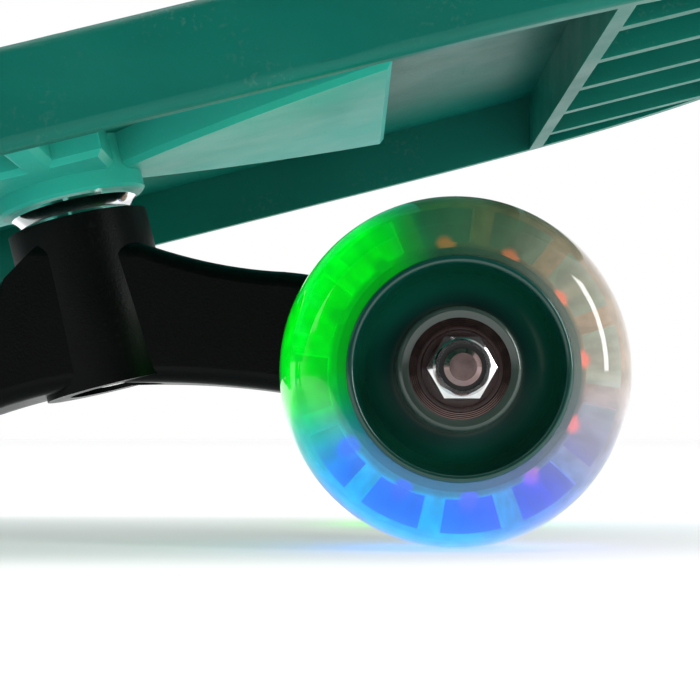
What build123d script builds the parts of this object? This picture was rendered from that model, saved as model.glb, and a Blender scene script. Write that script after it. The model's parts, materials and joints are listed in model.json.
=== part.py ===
from build123d import *
from math import cos, radians, sin
import os

# Street-surf style skateboard with moulded swing-arm trucks and light-up wheels.
# Millimetres.  X runs along the board (nose at +X), Y along the axles, Z up.
# The origin is on the ground, under the middle of the deck.

# ---- Driving dimensions -------------------------------------------------
# Wheels
wheel_r = 39.5
wheel_half_width = 21.0
wheel_centre_y = 52.0
axle_x = 250.0
axle_z = wheel_r
core_lip_r = 24.5
core_r = 26.5
core_bore_r = 8.0
light_guide_r = 34.8
light_guide_half_width = 9.5
window_count = 12
window_inner_r = 28.0
window_outer_r = 33.6
window_bar_width = 4.2
window_turn = 10.0
pocket_web = 1.2
lamp_count = 6
lamp_height = 2.2
lamp_width = 3.0
tyre_face = 20.2
tyre_step = 16.0
tyre_side_middle = (34.2, 16.4)
tyre_shoulder = (37.8, 9.5)
tyre_crown_middle = (39.1, 4.8)
groove_r = 17.0
groove_half_width = 2.2
board_r = 24.0
board_thickness = 1.6
lip_crest = (23.6, wheel_half_width)
bowl_rim = (22.7, tyre_face)
bowl_middle = (19.6, 14.4)
bowl_floor = (14.2, 11.5)
seat_shoulder = (13.5, 19.6)
seat_middle = (13.1, 20.4)
seat_face = (12.5, 20.7)

# Swing trucks: ring centre measured back from the axle and up from it
swing_tilt = 14.0
ring_back = 93.7
ring_rise = 39.9
boss_r = 18.0
boss_height = 43.0
crossbar_r = 13.0
heel_back = 127.0

# Deck
deck_half_length = 360.0
deck_half_width = 100.0
deck_thickness = 21.0
deck_skin = 5.0
deck_wall = 5.0
flat_half_length = 60.0
bend_radius = 250.0
rim_above_ring = 2.7
rib_width = 4.0
deck_edge_r = 2.5
shoulder_x = 220.0
shoulder_taper = 3.0
tip_pull_x = 60.0
tip_pull_y = 8.0

# 608 bearing
bearing_r = 11.0
bearing_width = 7.0
bearing_inset = 0.7
inner_race_r = 5.7
outer_race_bore_r = 9.3
shield_thickness = 0.5
ball_r = 1.75
ball_pitch_r = 7.5
balls_per_bearing = 7
shield_bore_r = 6.05
shield_inset = 0.15

# Hardware
axle_r = 4.0
axle_half_length = 82.5
washer_r = 6.0
washer_thickness = 1.0
axle_nut_r = 7.5
axle_nut_height = 8.0
nut_insert_r = 5.0
nut_outside = ((6.4, 0), (7.5, 0.7), (7.5, 5.2), (6.2, 5.9), (5.7, 8.0), (nut_insert_r, 8.0))
nut_insert_start = 5.9
nut_insert_length = 1.5
magnet_r = 7.4
magnet_half_width = 7.0
kingpin_r = 5.0
pin_head_r = 9.0
pin_nut_r = 9.2
pin_washer_r = 11.0
running_gap = 0.05
open_gap = 0.3

# Deck bolts: a 46 by 54 mm pattern, set back from the kingpin
bolt_middle_x = -17.0
bolt_spacing_x = 46.0
bolt_spacing_y = 54.0
bolt_r = 2.5
bolt_hole_r = 2.6
bolt_head_r = 4.8
bolt_socket_r = 1.7
insert_r = 3.8
insert_length = 8.5

# Thrust bearing over the arm's ring
cup_top_r = 16.2
cup_waist_r = 14.4
cup_lip_r = 15.3
cup_edge = 1.0
cup_hollow_r = 13.2
cup_roof = 2.85
thrust_ball_r = 2.0
thrust_pitch_r = 10.4
thrust_ball_count = 14
race_outer_r = 13.0
race_inner_r = 7.5
shoulder_hole_r = 8.0
spring_inner_r = 5.4
arm_edge_min = 20.0
arm_edge_r = 4.0

# ---- Worked out from the driving dimensions -----------------------------
tilt_sin = sin(radians(swing_tilt))
tilt_cos = cos(radians(swing_tilt))
slope = tilt_sin / tilt_cos
ring_x = axle_x - ring_back
ring_z = axle_z + ring_rise
bearing_outer = wheel_half_width - bearing_inset
bearing_inner = bearing_outer - bearing_width
arm_half_width = wheel_centre_y - bearing_outer - washer_thickness

# Heights along the kingpin, counted up from the top face of the arm's ring
base_bottom = 5.0
ceiling = rim_above_ring + deck_thickness - deck_skin
deck_top = rim_above_ring + deck_thickness
race_top = -1.2
race_bottom = -3.2
stack_r = 12.0
bush_length = 6.8
stack_bottom = -31.0
shoulder_bottom = -33.0
pin_washer_top = shoulder_bottom - open_gap
pin_washer_bottom = pin_washer_top - 1.5
pin_nut_bottom = pin_washer_bottom - 6.5
pin_end = pin_nut_bottom - 1.0
pin_head_bottom = 12.0

spring_gap = 0.2
spring_top = race_bottom - bush_length - spring_gap
spring_bottom = stack_bottom + bush_length + spring_gap

os.makedirs("parts", exist_ok=True)


def save(piece, name):
    """Label a finished piece and write it as its own STEP file."""
    piece.part.label = name
    export_step(piece.part, f"parts/{name}.step")


# ---- Working planes and axes --------------------------------------------
def ring_plane(end, height=0.0):
    """Plane square to a kingpin, `height` above the arm's ring; x points outwards."""
    normal = Vector(-end * tilt_sin, 0, tilt_cos)
    origin = Vector(end * ring_x, 0, ring_z) + normal * height
    return Plane(origin=origin, x_dir=(end * tilt_cos, 0, tilt_sin), z_dir=normal)


def kingpin_section(end):
    """Plane through a kingpin; x is the radius and y the height above the ring."""
    plane = ring_plane(end)
    return Plane(origin=plane.origin, x_dir=plane.x_dir, z_dir=plane.y_dir * -1)


def kingpin_line(end):
    """The line that one swing arm turns on."""
    plane = ring_plane(end)
    return Axis(plane.origin, plane.z_dir)


def arm_side_plane(end):
    """Upright plane along the board at an axle; x points outwards, y points up."""
    return Plane(origin=(end * axle_x, 0, axle_z), x_dir=(end, 0, 0), z_dir=(0, -end, 0))


def arm_plan_plane(end):
    """Level plane at an axle; x points outwards."""
    return Plane(origin=(end * axle_x, 0, axle_z), x_dir=(end, 0, 0), z_dir=(0, 0, 1))


def axle_section(end, y=0.0):
    """Plane through an axle; x is the radius and y runs along the axle."""
    return Plane(origin=(end * axle_x, y, axle_z), x_dir=(1, 0, 0), z_dir=(0, 0, 1))


def axle_face(end, y, way):
    """Plane across an axle at `y`, facing the way that is given."""
    return Plane(origin=(end * axle_x, y, axle_z), x_dir=(1, 0, 0), z_dir=(0, way, 0))


def axle_line(end):
    """The line that the wheels of one truck turn on."""
    return Axis((end * axle_x, 0, axle_z), (0, 1, 0))


# ---- Deck ---------------------------------------------------------------
# The side view is a flat middle, a bend at each end of it and a straight
# ramp out to the tip.  Heights are counted up from the bottom edge of the rim.
ramp_start_x = flat_half_length + bend_radius * tilt_sin
bend_rise = bend_radius * (1 - tilt_cos)
rim_over_ring_z = ring_z + rim_above_ring / tilt_cos
flat_rim_z = rim_over_ring_z - (ring_x - ramp_start_x) * slope - bend_rise
deck_reach = deck_half_length + 20.0


def band_edge(offset):
    """Points of one edge of the deck's side view: flat end, bend middle, bend end, tip."""
    radius = bend_radius - offset
    centre_z = flat_rim_z + bend_radius
    half_turn = radians(swing_tilt / 2)
    flat_end = (flat_half_length, flat_rim_z + offset)
    middle = (flat_half_length + radius * sin(half_turn), centre_z - radius * cos(half_turn))
    bend_end = (flat_half_length + radius * tilt_sin, centre_z - radius * tilt_cos)
    tip = (deck_reach, bend_end[1] + (deck_reach - bend_end[0]) * slope)
    return flat_end, middle, bend_end, tip


def deck_band(lower, upper):
    """Slab that follows the deck's side view between two heights above the rim edge."""
    low_flat, low_middle, low_bend, low_tip = band_edge(lower)
    high_flat, high_middle, high_bend, high_tip = band_edge(upper)
    with BuildPart() as band:
        with BuildSketch(Plane.XZ):
            with BuildLine():
                Line((0, low_flat[1]), low_flat)
                ThreePointArc(low_flat, low_middle, low_bend)
                Line(low_bend, low_tip)
                Line(low_tip, high_tip)
                Line(high_tip, high_bend)
                ThreePointArc(high_bend, high_middle, high_flat)
                Line(high_flat, (0, high_flat[1]))
                mirror(about=Plane.YZ)
            make_face()
        extrude(amount=deck_half_width + 20.0, both=True)
    return band.part


def deck_outline(inset):
    """Plan view of the deck, drawn `inset` inside its edge."""
    waist = deck_half_width - inset
    shoulder = waist - shoulder_taper
    tip = deck_half_length - inset
    tip_side = shoulder - tip_pull_y
    with BuildSketch() as plan:
        with BuildLine():
            ThreePointArc((-shoulder_x, shoulder), (0, waist), (shoulder_x, shoulder))
            for way in (-1, 1):
                Bezier(
                    (way * shoulder_x, shoulder),
                    (way * (tip - tip_pull_x), shoulder),
                    (way * tip, tip_side),
                    (way * tip, 0),
                )
            mirror(about=Plane.XZ)
        make_face()
    return plan.sketch


# Hollows in the underside, between the ribs.  The truck bracket fills the
# opening in the ribs at each end of the board.
cross_rib_xs = (0.0, 31.0, 62.0, 92.0)
stringer_y = 33.0
end_rib_x = 284.0
end_stringer_x = (end_rib_x + deck_half_length) / 2

with BuildPart() as rib_field:
    with BuildSketch():
        add(deck_outline(deck_wall))
        for rib_x in cross_rib_xs:
            with Locations((rib_x, 0), (-rib_x, 0)):
                Rectangle(rib_width, 2 * deck_half_width, mode=Mode.SUBTRACT)
        with GridLocations(0, stringer_y, 1, 5):
            Rectangle(2 * cross_rib_xs[-1], rib_width, mode=Mode.SUBTRACT)
        with Locations((end_rib_x, 0), (-end_rib_x, 0)):
            Rectangle(rib_width, 2 * deck_half_width, mode=Mode.SUBTRACT)
        for end_x in (-end_stringer_x, end_stringer_x):
            with Locations((end_x, 0)):
                with GridLocations(0, stringer_y, 1, 5):
                    Rectangle(deck_half_length - end_rib_x, rib_width, mode=Mode.SUBTRACT)
    extrude(amount=2 * deck_half_length)

with BuildPart() as hollow:
    add(rib_field.part)
    add(deck_band(-deck_skin, deck_thickness - deck_skin), mode=Mode.INTERSECT)

with BuildPart() as deck:
    add(deck_band(0, deck_thickness))
    with BuildSketch():
        add(deck_outline(0))
    extrude(amount=2 * deck_half_length, mode=Mode.INTERSECT)
    fillet(deck.edges().filter_by(GeomType.LINE, reverse=True), deck_edge_r)
    add(hollow.part, mode=Mode.SUBTRACT)
    for end in (-1, 1):
        with Locations(ring_plane(end, deck_top)):
            with Locations((bolt_middle_x, 0)):
                with GridLocations(bolt_spacing_x, bolt_spacing_y, 2, 2):
                    CounterSinkHole(bolt_hole_r, bolt_head_r, depth=deck_skin + 1.0)
save(deck, "deck")


# ---- Truck bracket ------------------------------------------------------
# A moulded plate under the deck: a block around the bolts, a fan that widens
# towards the tip of the board, a leg and a rib on each side that reach the
# rim, and a round boss below the plate that carries the swivel cup.
block_inner_x = -50.0
block_outer_x = 14.0
block_half_width = 34.0
fan_root_half_width = 9.0
fan_middle = (47.5, 33.5)
fan_reach_x = 85.0
fan_half_width = 53.0
side_rib_x = -2.0
side_rib_width = 8.0
leg_width = 22.0
leg_start = 18.0
plate_bottom = 9.6
base_r = 19.0
edge_ease = 1.5


def bracket_plan():
    """Plan of the bracket's plate in the ring's frame."""
    with BuildSketch() as plan:
        with Locations(((block_inner_x + block_outer_x) / 2, 0)):
            Rectangle(block_outer_x - block_inner_x, 2 * block_half_width)
        with Locations((side_rib_x, 0)):
            Rectangle(side_rib_width, 2 * deck_half_width)
        with BuildLine():
            Polyline(
                (block_inner_x + leg_width, leg_start),
                (block_inner_x + leg_width - leg_start, deck_half_width),
                (block_inner_x - leg_width / 3, deck_half_width),
                (block_inner_x, leg_start),
                close=True,
            )
        make_face()
        with BuildLine():
            Line((0, 0), (0, fan_root_half_width))
            Line((0, fan_root_half_width), (block_outer_x, fan_root_half_width))
            ThreePointArc(
                (block_outer_x, fan_root_half_width),
                fan_middle,
                (fan_reach_x, fan_half_width),
            )
            Line((fan_reach_x, fan_half_width), (fan_reach_x, 0))
            Line((fan_reach_x, 0), (0, 0))
        make_face()
        mirror(about=Plane.XZ)
    return plan.sketch


def make_bracket(end):
    """Teal moulding that carries one kingpin."""
    inside = deck_wall + open_gap
    with BuildPart() as bracket:
        with BuildSketch(ring_plane(end, plate_bottom)):
            add(bracket_plan())
        extrude(amount=ceiling - plate_bottom)
        chamfer(bracket.faces().sort_by(kingpin_line(end))[0].edges(), edge_ease)
        with BuildSketch():
            add(deck_outline(inside))
        extrude(amount=2 * deck_half_length, mode=Mode.INTERSECT)
        with BuildSketch(ring_plane(end, base_bottom)):
            Circle(base_r)
        extrude(amount=ceiling - base_bottom)
        chamfer(bracket.faces().sort_by(kingpin_line(end))[0].edges(), edge_ease / 2)
        with Locations(ring_plane(end, ceiling)):
            CounterBoreHole(kingpin_r, pin_head_r, ceiling - pin_head_bottom, depth=ceiling)
            with Locations((bolt_middle_x, 0)):
                with GridLocations(bolt_spacing_x, bolt_spacing_y, 2, 2):
                    Hole(insert_r, depth=insert_length)
    return bracket


def make_inserts(end):
    """Four brass threaded inserts in the bracket."""
    with BuildPart() as inserts:
        with BuildSketch(ring_plane(end, ceiling - insert_length)):
            with Locations((bolt_middle_x, 0)):
                with GridLocations(bolt_spacing_x, bolt_spacing_y, 2, 2):
                    Circle(insert_r)
                    Circle(bolt_r, mode=Mode.SUBTRACT)
        extrude(amount=insert_length)
    return inserts


def make_deck_bolts(end):
    """Four countersunk bolts through the deck."""
    cone_height = bolt_head_r - bolt_r
    with BuildPart() as bolts:
        with BuildSketch(ring_plane(end, ceiling - insert_length)):
            with Locations((bolt_middle_x, 0)):
                with GridLocations(bolt_spacing_x, bolt_spacing_y, 2, 2):
                    Circle(bolt_r)
        extrude(amount=insert_length + deck_skin - open_gap)
        with Locations(ring_plane(end, deck_top - cone_height / 2 - open_gap)):
            with Locations((bolt_middle_x, 0)):
                with GridLocations(bolt_spacing_x, bolt_spacing_y, 2, 2):
                    Cone(bolt_r, bolt_head_r - open_gap, cone_height)
        with BuildSketch(ring_plane(end, deck_top)):
            with Locations((bolt_middle_x, 0)):
                with GridLocations(bolt_spacing_x, bolt_spacing_y, 2, 2):
                    RegularPolygon(bolt_socket_r, 6)
        extrude(amount=-cone_height, mode=Mode.SUBTRACT)
    return bolts


# ---- Kingpin and its bearing --------------------------------------------
def make_kingpin(end):
    """Bolt that the swing arm turns on, with a round head sunk in the bracket."""
    with BuildPart() as kingpin:
        with BuildSketch(ring_plane(end, pin_end)):
            Circle(kingpin_r)
        extrude(amount=pin_head_bottom - pin_end)
        chamfer(kingpin.faces().sort_by(kingpin_line(end))[0].edges(), 1.0)
        with BuildSketch(ring_plane(end, pin_head_bottom)):
            Circle(pin_head_r)
        extrude(amount=ceiling - pin_head_bottom - open_gap)
    return kingpin


def make_swivel_cup(end):
    """Chrome cup under the bracket that covers the thrust balls."""
    with BuildPart() as cup:
        with BuildSketch(kingpin_section(end)):
            with BuildLine():
                Line((kingpin_r, base_bottom), (cup_top_r, base_bottom))
                Line((cup_top_r, base_bottom), (cup_top_r, base_bottom - cup_edge))
                ThreePointArc(
                    (cup_top_r, base_bottom - cup_edge),
                    (cup_waist_r + cup_edge / 2, base_bottom / 2),
                    (cup_waist_r, cup_edge + open_gap),
                )
                Line((cup_waist_r, cup_edge + open_gap), (cup_lip_r, cup_edge / 2 + open_gap))
                Line((cup_lip_r, cup_edge / 2 + open_gap), (cup_lip_r, open_gap))
                Line((cup_lip_r, open_gap), (cup_hollow_r, open_gap))
                Line((cup_hollow_r, open_gap), (cup_hollow_r, cup_roof))
                Line((cup_hollow_r, cup_roof), (kingpin_r, cup_roof))
                Line((kingpin_r, cup_roof), (kingpin_r, base_bottom))
            make_face()
        revolve(axis=kingpin_line(end))
    return cup


def make_thrust_balls(end):
    """Ring of balls between the cup and the race in the arm."""
    with BuildPart() as balls:
        with Locations(ring_plane(end, race_top + thrust_ball_r)):
            with PolarLocations(thrust_pitch_r, thrust_ball_count):
                Sphere(thrust_ball_r)
    return balls


def kingpin_ring(end, outer_r, inner_r, bottom, top):
    """Plain ring around a kingpin between two heights."""
    with BuildPart() as ring:
        with BuildSketch(ring_plane(end, bottom)):
            Circle(outer_r)
            Circle(inner_r, mode=Mode.SUBTRACT)
        extrude(amount=top - bottom)
    return ring


def make_swivel_bushes(end):
    """Bronze bushes at the top and the bottom of the arm's bore."""
    with BuildPart() as bushes:
        for bottom in (race_bottom - bush_length, stack_bottom):
            add(kingpin_ring(end, stack_r, kingpin_r + running_gap, bottom, bottom + bush_length).part)
    return bushes


def make_kingpin_nut(end):
    """Thin lock nut under the arm."""
    with BuildPart() as nut:
        with BuildSketch(ring_plane(end, pin_nut_bottom)):
            RegularPolygon(pin_nut_r, 6)
            Circle(kingpin_r, mode=Mode.SUBTRACT)
        extrude(amount=pin_washer_bottom - pin_nut_bottom)
    return nut


# ---- Swing arm ----------------------------------------------------------
# One black moulding: a ring around the kingpin, a heel behind it, an arched
# web and a crossbar that holds the axle.
def arm_side_outline():
    """Side view of the arm from heel to axle; the origin is the axle."""
    web_top = (-40.0, 26.7)
    ring_foot = (-76.0, 34.0)
    ring_back_foot = (-100.0, 34.0)
    heel_top = (-110.0, 24.0)
    heel_toe = (-122.0, -11.8)
    arch_top = (-80.0, -1.2)
    bar_front = (crossbar_r, 0)
    bar_bottom = (0, -crossbar_r)
    bar_middle = (crossbar_r * sin(radians(45)), -crossbar_r * cos(radians(45)))
    with BuildSketch() as outline:
        with BuildLine():
            ThreePointArc(ring_foot, (-59.0, 29.3), web_top)
            TangentArc(web_top, bar_front, tangent=(1.0, -0.1))
            ThreePointArc(bar_front, bar_middle, bar_bottom)
            ThreePointArc(bar_bottom, (-40.0, -3.5), arch_top)
            ThreePointArc(arch_top, (-102.0, -5.0), heel_toe)
            ThreePointArc(heel_toe, (-heel_back, 8.0), heel_top)
            Line(heel_top, ring_back_foot)
            Line(ring_back_foot, ring_foot)
        make_face()
    return outline.sketch


def arm_plan_outline():
    """Plan of the arm: narrow heel, full ring, slim waist, wide crossbar."""
    heel_end = (-heel_back - 1.0, 8.0)
    bar_start = (-9.0, arm_half_width)
    with BuildSketch() as outline:
        with BuildLine():
            Line((heel_end[0], 0), heel_end)
            Spline(heel_end, (-94.0, 16.5), (-58.0, 12.5), (-28.0, 18.0), bar_start)
            Line(bar_start, (crossbar_r + 1.0, arm_half_width))
            Line((crossbar_r + 1.0, arm_half_width), (crossbar_r + 1.0, 0))
            mirror(about=Plane.XZ)
        make_face()
    return outline.sketch


def make_swing_arm(end):
    """Swing arm with its bores."""
    with BuildPart() as arm:
        with BuildSketch(arm_side_plane(end)):
            add(arm_side_outline())
        extrude(amount=arm_half_width, both=True)
        with BuildSketch(arm_plan_plane(end).offset(-axle_z)):
            add(arm_plan_outline())
        extrude(amount=deck_half_length, mode=Mode.INTERSECT)
        fillet(arm.edges().filter_by(lambda edge: edge.length > arm_edge_min), arm_edge_r)
        with BuildSketch(ring_plane(end, -boss_height)):
            Circle(boss_r)
        extrude(amount=boss_height)
        with BuildSketch(axle_face(end, -arm_half_width, 1)):
            Circle(crossbar_r)
        extrude(amount=2 * arm_half_width)
        with Locations(ring_plane(end)):
            CounterBoreHole(stack_r, race_outer_r, -race_bottom, depth=-stack_bottom)
            Hole(shoulder_hole_r, depth=boss_height)
        with BuildSketch(ring_plane(end, shoulder_bottom)):
            Circle(stack_r)
        extrude(amount=-boss_height, mode=Mode.SUBTRACT)
        with Locations(axle_face(end, arm_half_width, 1)):
            Hole(axle_r)
    return arm


def turned_round(piece):
    """The same piece at the other end of the board."""
    with BuildPart() as turned:
        add(piece.part.rotate(Axis.Z, 180))
    return turned


# ---- Axle and what is clamped on it -------------------------------------
def make_axle(end):
    """Straight axle, chamfered at both ends."""
    with BuildPart() as axle:
        with BuildSketch(axle_face(end, -axle_half_length, 1)):
            Circle(axle_r)
        extrude(amount=2 * axle_half_length)
        chamfer(axle.edges().filter_by(GeomType.CIRCLE), 1.1)
    return axle


def axle_ring(end, outer_r, inner_r, start, stop):
    """Plain rings around the axle between two places, on both sides of the arm."""
    with BuildPart() as rings:
        for way in (-1, 1):
            with BuildSketch(axle_face(end, way * start, way)):
                Circle(outer_r)
                Circle(inner_r, mode=Mode.SUBTRACT)
            extrude(amount=stop - start)
    return rings


def make_speed_washers(end):
    """Four washers, one at each face of the two wheels."""
    outer_face = wheel_centre_y + bearing_outer
    with BuildPart() as washers:
        add(axle_ring(end, washer_r, axle_r, arm_half_width, arm_half_width + washer_thickness).part)
        add(axle_ring(end, washer_r, axle_r, outer_face, outer_face + washer_thickness).part)
    return washers


def nut_profile(way, start):
    """Half section of a lock nut as radius and place along the axle."""
    bore = ((nut_insert_r, nut_insert_start), (axle_r, nut_insert_start), (axle_r, 0))
    with BuildSketch() as profile:
        with BuildLine():
            Polyline(*[(r, way * (start + h)) for r, h in nut_outside + bore], close=True)
        make_face()
    return profile.sketch


def make_axle_nuts(end):
    """Two lock nuts: a chamfered hexagon with a round collar."""
    start = wheel_centre_y + bearing_outer + washer_thickness
    with BuildPart() as nuts:
        for way in (-1, 1):
            with BuildSketch(axle_face(end, way * start, way)):
                RegularPolygon(axle_nut_r, 6)
            extrude(amount=axle_nut_height)
        with BuildSketch(axle_section(end)):
            add(nut_profile(-1, start))
            add(nut_profile(1, start))
        revolve(axis=axle_line(end), mode=Mode.INTERSECT)
    return nuts


def make_nut_inserts(end):
    """Nylon rings in the collars of the lock nuts."""
    start = wheel_centre_y + bearing_outer + washer_thickness + nut_insert_start
    return axle_ring(end, nut_insert_r, axle_r, start, start + nut_insert_length)


def make_inner_races(end):
    """Inner races of the four bearings of one truck."""
    near = wheel_centre_y - bearing_outer
    far = wheel_centre_y + bearing_inner
    with BuildPart() as races:
        add(axle_ring(end, inner_race_r, axle_r, near, near + bearing_width).part)
        add(axle_ring(end, inner_race_r, axle_r, far, far + bearing_width).part)
    return races


def make_magnet_sleeves(end):
    """Spacers between the bearings, each with a magnet ring in its middle."""
    near = wheel_centre_y - bearing_inner
    far = wheel_centre_y + bearing_inner
    with BuildPart() as sleeves:
        add(axle_ring(end, inner_race_r, axle_r, near, far).part)
        middle = wheel_centre_y - magnet_half_width
        add(axle_ring(end, magnet_r, axle_r, middle, middle + 2 * magnet_half_width).part)
    return sleeves


# ---- Wheel --------------------------------------------------------------
def wheel_section(end, side):
    """Plane through a wheel's axis; x is the radius and y runs along the axle."""
    return axle_section(end, side * wheel_centre_y)


def both_ways(end, side, radius_out, radius_in, start, stop):
    """Rings at both faces of a wheel, placed from its middle."""
    with BuildPart() as rings:
        for way in (-1, 1):
            with BuildSketch(axle_face(end, side * wheel_centre_y + way * start, way)):
                Circle(radius_out)
                Circle(radius_in, mode=Mode.SUBTRACT)
            extrude(amount=stop - start)
    return rings


def window_ring_sketch():
    """Ring with a row of pockets, seen along the axle."""
    window_middle_r = (window_inner_r + window_outer_r) / 2
    with BuildSketch() as ring:
        Circle(light_guide_r)
        Circle(window_outer_r, mode=Mode.SUBTRACT)
        Circle(window_inner_r)
        Circle(core_r, mode=Mode.SUBTRACT)
        with PolarLocations(window_middle_r, window_count, start_angle=window_turn):
            Rectangle(window_outer_r - window_inner_r + 2 * open_gap, window_bar_width)
    return ring.sketch


def make_light_guide(end, side):
    """Clear ring cast inside the tyre, with a row of pockets in both faces."""
    with BuildPart() as guide:
        with BuildSketch(axle_face(end, side * wheel_centre_y - light_guide_half_width, 1)):
            add(window_ring_sketch())
        extrude(amount=2 * light_guide_half_width)
        with BuildSketch(axle_face(end, side * wheel_centre_y - pocket_web / 2, 1)):
            Circle(light_guide_r)
            Circle(core_r, mode=Mode.SUBTRACT)
        extrude(amount=pocket_web)
    return guide


def make_tyre(end, side, guide):
    """Crowned urethane tyre, cast around the core and the light guide."""
    with BuildPart() as tyre:
        with BuildSketch(wheel_section(end, side)):
            with BuildLine():
                Line((core_r, 0), (core_r, tyre_step))
                Line((core_r, tyre_step), (core_lip_r, tyre_step))
                Line((core_lip_r, tyre_step), (core_lip_r, tyre_face))
                Line((core_lip_r, tyre_face), (core_r, tyre_face))
                ThreePointArc((core_r, tyre_face), tyre_side_middle, tyre_shoulder)
                ThreePointArc(tyre_shoulder, tyre_crown_middle, (wheel_r, 0))
                mirror(about=Plane.XZ)
            make_face()
        revolve(axis=axle_line(end))
        add(guide.part, mode=Mode.SUBTRACT)
    return tyre


def make_core(end, side):
    """Hub with a bowl at each face, bearing seats and a groove for the light board."""
    with BuildPart() as core:
        with BuildSketch(wheel_section(end, side)):
            with BuildLine():
                Line((groove_r, 0), (groove_r, groove_half_width))
                Line((groove_r, groove_half_width), (core_r, groove_half_width))
                Line((core_r, groove_half_width), (core_r, tyre_step))
                Line((core_r, tyre_step), (core_lip_r, tyre_step))
                Line((core_lip_r, tyre_step), (core_lip_r, tyre_face))
                ThreePointArc((core_lip_r, tyre_face), lip_crest, bowl_rim)
                ThreePointArc(bowl_rim, bowl_middle, bowl_floor)
                Line(bowl_floor, seat_shoulder)
                ThreePointArc(seat_shoulder, seat_middle, seat_face)
                Line(seat_face, (bearing_r, bearing_outer))
                Line((bearing_r, bearing_outer), (bearing_r, bearing_inner))
                Line((bearing_r, bearing_inner), (core_bore_r, bearing_inner))
                Line((core_bore_r, bearing_inner), (core_bore_r, 0))
                mirror(about=Plane.XZ)
            make_face()
        revolve(axis=axle_line(end))
    return core


def make_light_board(end, side):
    """Flat ring that carries the coil, with small lamps around its edge."""
    with BuildPart() as board:
        with BuildSketch(axle_face(end, side * wheel_centre_y - board_thickness / 2, 1)):
            Circle(board_r)
            Circle(groove_r + open_gap, mode=Mode.SUBTRACT)
        extrude(amount=board_thickness)
        with Locations(axle_face(end, side * wheel_centre_y, 1)):
            with PolarLocations(board_r + lamp_height / 2 - open_gap, lamp_count):
                Box(lamp_height, lamp_width, lamp_width)
    return board


def make_balls(end, side):
    """Balls of the two bearings of one wheel."""
    middle = (bearing_outer + bearing_inner) / 2
    with BuildPart() as balls:
        for way in (-1, 1):
            with Locations(axle_face(end, side * wheel_centre_y + way * middle, way)):
                with PolarLocations(ball_pitch_r, balls_per_bearing):
                    Sphere(ball_r)
    return balls


def make_shields(end, side):
    """Two black shields on each bearing of one wheel."""
    shield_out_r = outer_race_bore_r
    outer_start = bearing_outer - shield_thickness - shield_inset
    inner_start = bearing_inner + shield_inset
    with BuildPart() as shields:
        for start in (outer_start, inner_start):
            stop = start + shield_thickness
            add(both_ways(end, side, shield_out_r, shield_bore_r, start, stop).part)
    return shields


# ---- Build every piece --------------------------------------------------
def save_pair(make_piece, name):
    """Save the same fastener of both trucks as one group."""
    with BuildPart() as pair:
        add(make_piece(1).part)
        add(make_piece(-1).part)
    save(pair, name)


def make_kingpin_washer(end):
    """Plain washer over the kingpin nut."""
    return kingpin_ring(end, pin_washer_r, kingpin_r, pin_washer_bottom, pin_washer_top)


save_pair(make_deck_bolts, "deck_bolts")
save_pair(make_inserts, "bolt_inserts")
save_pair(make_kingpin, "kingpins")
save_pair(make_kingpin_washer, "kingpin_washers")
save_pair(make_kingpin_nut, "kingpin_nuts")
nose_arm = make_swing_arm(1)
save(nose_arm, "nose_swing_arm")
save(turned_round(nose_arm), "tail_swing_arm")

for end, end_name in ((1, "nose"), (-1, "tail")):
    save(make_bracket(end), f"{end_name}_bracket")
    save(make_swivel_cup(end), f"{end_name}_swivel_cup")
    save(make_thrust_balls(end), f"{end_name}_thrust_balls")
    race = kingpin_ring(end, race_outer_r, race_inner_r, race_bottom, race_top)
    save(race, f"{end_name}_thrust_race")
    save(make_swivel_bushes(end), f"{end_name}_swivel_bushes")
    sleeve = kingpin_ring(end, stack_r, spring_inner_r, spring_bottom, spring_top)
    save(sleeve, f"{end_name}_centring_sleeve")
    save(make_axle(end), f"{end_name}_axle")
    save(make_speed_washers(end), f"{end_name}_speed_washers")
    save(make_axle_nuts(end), f"{end_name}_axle_nuts")
    save(make_nut_inserts(end), f"{end_name}_nut_inserts")
    save(make_inner_races(end), f"{end_name}_inner_races")
    save(make_magnet_sleeves(end), f"{end_name}_magnet_sleeves")
    for side, side_name in ((1, "left"), (-1, "right")):
        wheel = f"{end_name}_{side_name}"
        guide = make_light_guide(end, side)
        save(guide, f"{wheel}_light_guide")
        save(make_tyre(end, side, guide), f"{wheel}_tyre")
        save(make_core(end, side), f"{wheel}_core")
        save(make_light_board(end, side), f"{wheel}_light_board")
        races = both_ways(end, side, bearing_r, outer_race_bore_r, bearing_inner, bearing_outer)
        save(races, f"{wheel}_outer_races")
        save(make_balls(end, side), f"{wheel}_bearing_balls")
        save(make_shields(end, side), f"{wheel}_bearing_shields")
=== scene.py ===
"""Looks of a teal street skateboard with swing-arm trucks and light-up wheels."""

import json
import logging
import math
from dataclasses import dataclass, field
from enum import Enum
from functools import cache
from typing import Sequence

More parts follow.
